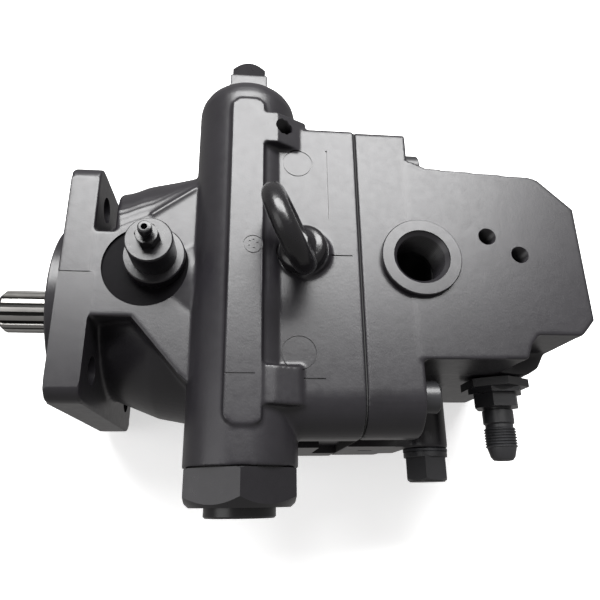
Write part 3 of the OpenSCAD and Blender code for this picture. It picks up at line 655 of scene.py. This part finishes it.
def paint_finish(name, colour, gloss, grain, rough_grain):
    """Enamel over metal: mottled colour, uneven gloss and a skin of grain."""
    tree, shader, where = new_finish(name)
    cloud = noise(tree, where, 38, 5, 0.6)
    fine = noise(tree, where, 900, 3, 0.55)
    coarse = noise(tree, where, 260, 4, 0.6)
    tree.links.new(
        ramp(tree, cloud, [(0.3, tint(colour, 0.86)), (0.72, tint(colour, 1.2))]), shader.inputs["Base Color"]
    )
    tree.links.new(spread(tree, coarse, 0.3, 0.7, gloss - 0.025, gloss + 0.03), shader.inputs["Roughness"])
    shader.inputs["IOR"].default_value = 1.52
    bump(tree, shader, (coarse, rough_grain), (fine, grain))
    return tree, shader, where


def metal_finish(name, colour, rough, scratch, grain):
    """Bare or oxide-blacked metal with streaky gloss."""
    tree, shader, where = new_finish(name)
    cloud = noise(tree, where, 120, 5, 0.65)
    fine = noise(tree, where, 2200, 3, 0.6)
    tree.links.new(
        ramp(tree, cloud, [(0.3, tint(colour, 0.7)), (0.7, tint(colour, 1.15))]), shader.inputs["Base Color"]
    )
    gloss = spread(tree, cloud, 0.3, 0.7, rough - scratch, rough + scratch)
    tree.links.new(gloss, shader.inputs["Roughness"])
    shader.inputs["Metallic"].default_value = 1.0
    bump(tree, shader, (fine, grain))
    return tree, shader, where


def splined_finish(name, colour):
    """Machined steel, bright on the lands and dark with old grease between the teeth."""
    tree, shader, where = metal_finish(name, colour, 0.42, 0.06, 0.00001)
    split = tree.nodes.new("ShaderNodeSeparateXYZ")
    tree.links.new(where, split.inputs["Vector"])
    flat = tree.nodes.new("ShaderNodeCombineXYZ")
    tree.links.new(split.outputs["Y"], flat.inputs["X"])
    tree.links.new(split.outputs["Z"], flat.inputs["Y"])
    reach = tree.nodes.new("ShaderNodeVectorMath")
    reach.operation = "LENGTH"
    tree.links.new(flat.outputs["Vector"], reach.inputs[0])
    depth = spread(tree, reach.outputs["Value"], 0.0111, 0.0124, 0.0, 1.0)
    # Painted shade: the colour falls from the tooth tips to near black at the roots.
    root_shade_colour = ramp(tree, depth, [(0.25, tint(colour, 0.04)), (0.85, tint(colour, 0.62))])
    tree.links.new(root_shade_colour, shader.inputs["Base Color"])


def build_finishes(context):
    """Makes every finish and gives each CAD node its own."""
    f = context.scene.pump_finish
    paint = tuple(f.paint_colour)
    paint_finish("painted casting", paint, f.paint_gloss, 0.00002, 0.000045)
    paint_finish("painted machining", tint(paint, 0.9), f.paint_gloss - 0.03, 0.00001, 0.00002)
    # Painted shade: paint darkened to 0.3 with weak specular, standing in for the shade inside the recess
    # round the bleed plug.
    recess_shade = paint_finish("recess painted shade", tint(paint, 0.3), 0.4, 0.00001, 0.00002)[1]
    recess_shade.inputs["Specular IOR Level"].default_value = 0.03
    paint_finish("painted fittings", tint(paint, 0.7), f.paint_gloss - 0.04, 0.00001, 0.00004)
    paint_finish("blackened steel", tuple(f.black_colour), 0.34, 0.00003, 0.00004)
    paint_finish("blackened forging", tint(paint, 0.4), 0.26, 0.00003, 0.0001)
    metal_finish("bare shaft steel", tuple(f.steel_colour), 0.26, 0.06, 0.00001)
    splined_finish("splined steel", tuple(f.steel_colour))
    metal_finish("ground steel", (0.5, 0.5, 0.5), 0.22, 0.05, 0.000006)
    metal_finish("bronze", (0.58, 0.38, 0.17), 0.3, 0.08, 0.00001)
    metal_finish("spring steel", (0.2, 0.19, 0.18), 0.34, 0.08, 0.00001)
    tree, shader, where = new_finish("seal rubber")
    tree.links.new(ramp(tree, noise(tree, where, 300), [(0.3, (0.008,) * 3), (0.7, (0.02,) * 3)]),
                   shader.inputs["Base Color"])
    shader.inputs["Roughness"].default_value = 0.6
    bump(tree, shader, (noise(tree, where, 1500), 0.00002))
    by_slot = {
        "painted_casting": "painted casting", "black_steel": "blackened steel", "seal_rubber": "seal rubber",
        "bronze": "bronze", "spring_steel": "spring steel", "bare_shaft_steel": "bare shaft steel",
        "ground_steel": "ground steel",
    }
    for entry in frame["record"]["materials"]:
        for node in entry.get("nodes", []):
            cad = frame["nodes"].get(node)
            if cad is None:
                continue
            if not cad.material_slots:
                cad.data.materials.append(None)
            for holder in cad.material_slots:
                holder.material = made_finishes[by_slot[entry["slot"]]]


# ---------------------------------------------------------------- stage


def build_stage(context):
    """Pale floor, soft studio light and the camera."""
    scene = context.scene
    low = CAD_BOX[0][2]
    bm = bmesh.new()
    bmesh.ops.create_grid(bm, x_segments=8, y_segments=8, size=6.0)
    bmesh.ops.translate(bm, vec=(0.13, 0, low - 0.0006), verts=bm.verts)
    mesh = bpy.data.meshes.new("studio_floor")
    bm.to_mesh(mesh)
    bm.free()
    floor = bpy.data.objects.new("studio_floor", mesh)
    scene.collection.objects.link(floor)
    tree, shader, where = new_finish("studio floor")
    tree.links.new(ramp(tree, noise(tree, where, 3), [(0.3, (0.86, 0.86, 0.86)), (0.7, (0.9, 0.9, 0.9))]),
                   shader.inputs["Base Color"])
    shader.inputs["Roughness"].default_value = 0.9
    shader.inputs["Emission Color"].default_value = (1, 1, 1, 1)
    shader.inputs["Emission Strength"].default_value = 0.55
    mesh.materials.append(made_finishes["studio floor"])
    floor.visible_glossy = False
    floor.visible_diffuse = False

    world = scene.world or bpy.data.worlds.new("studio")
    scene.world = world
    world.use_nodes = True
    world.node_tree.nodes["Background"].inputs["Color"].default_value = (1.0, 0.98, 0.97, 1)
    world.node_tree.nodes["Background"].inputs["Strength"].default_value = 0.32
    scene.view_settings.view_transform = "Standard"

    def panel(name, at, aim, size, watts):
        lamp = bpy.data.lights.new(name, "AREA")
        lamp.shape, lamp.size, lamp.size_y, lamp.energy = "RECTANGLE", size[0], size[1], watts
        holder = bpy.data.objects.new(name, lamp)
        holder.location = at
        holder.rotation_euler = (Vector(aim) - Vector(at)).to_track_quat("-Z", "Y").to_euler()
        scene.collection.objects.link(holder)

    panel("window_panel", (0.1, 0.95, 1.3), (0.12, 0, 0.05), (1.7, 0.9), 74)
    panel("side_panel", (-1.1, -0.2, 0.9), (0.1, 0, 0.03), (0.8, 1.2), 5)

    eye = bpy.data.cameras.new("camera")
    eye.lens, eye.sensor_width = 33.86, 36
    eye.clip_start, eye.clip_end = 0.01, 30
    camera = bpy.data.objects.new("camera", eye)
    right = Vector((0.99513, -0.01288, 0.09783))
    up = Vector((-0.02102, 0.94105, 0.33762))
    back = Vector((-0.09642, -0.33803, 0.93618))
    turn = Matrix((right, up, back)).transposed().to_4x4()
    camera.matrix_world = Matrix.Translation(Vector((92.062, -108.248, 330.550)) * MM) @ turn
    scene.collection.objects.link(camera)
    scene.camera = camera


# ---------------------------------------------------------------- operators and panel

STEPS = [
    ("finishes", "Finishes", build_finishes),
    ("stage", "Stage", build_stage),
    ("housing", "Housing casting", build_housing),
    ("cover", "Port cover casting", build_cover),
    ("shaft", "Drive shaft", build_shaft),
    ("servo_ends", "Servo cylinder ends", build_servo_ends),
    ("lifting_eye", "Lifting eye", build_lifting_eye),
    ("bleeder", "Bleed plug and nipple", build_bleeder),
    ("cover_screws", "Cover screws", build_cover_screws),
    ("adapter", "Hose adapter", build_adapter),
    ("gallery_plug", "Gallery plug", build_gallery_plug),
]


def operator_for(key, label, build):
    """One operator class for a step."""

    def execute(self, context):
        build(context)
        return {"FINISHED"}

    return type(
        "PUMP_OT_" + key, (bpy.types.Operator,),
        {"bl_idname": "pump." + key, "bl_label": label, "__doc__": build.__doc__, "execute": execute},
    )


class PUMP_PT_pieces(bpy.types.Panel):
    """Lists the pump's pieces in the sidebar."""

    bl_label = "Pump pieces"
    bl_space_type = "VIEW_3D"
    bl_region_type = "UI"
    bl_category = "Pump"

    def draw(self, context):
        for key, label, _ in STEPS:
            self.layout.operator("pump." + key, text=label)


CLASSES = [PumpCastingSettings, PumpFinishSettings, *[operator_for(*step) for step in STEPS], PUMP_PT_pieces]


def register():
    for cls in CLASSES:
        bpy.utils.register_class(cls)
    bpy.types.Scene.pump_casting = PointerProperty(type=PumpCastingSettings)
    bpy.types.Scene.pump_finish = PointerProperty(type=PumpFinishSettings)


def unregister():
    del bpy.types.Scene.pump_finish
    del bpy.types.Scene.pump_casting
    for cls in reversed(CLASSES):
        bpy.utils.unregister_class(cls)


def main():
    register()
    for key, _, _ in STEPS:
        getattr(bpy.ops.pump, key)()
    bpy.context.view_layer.update()


if __name__ == "__main__":
    main()
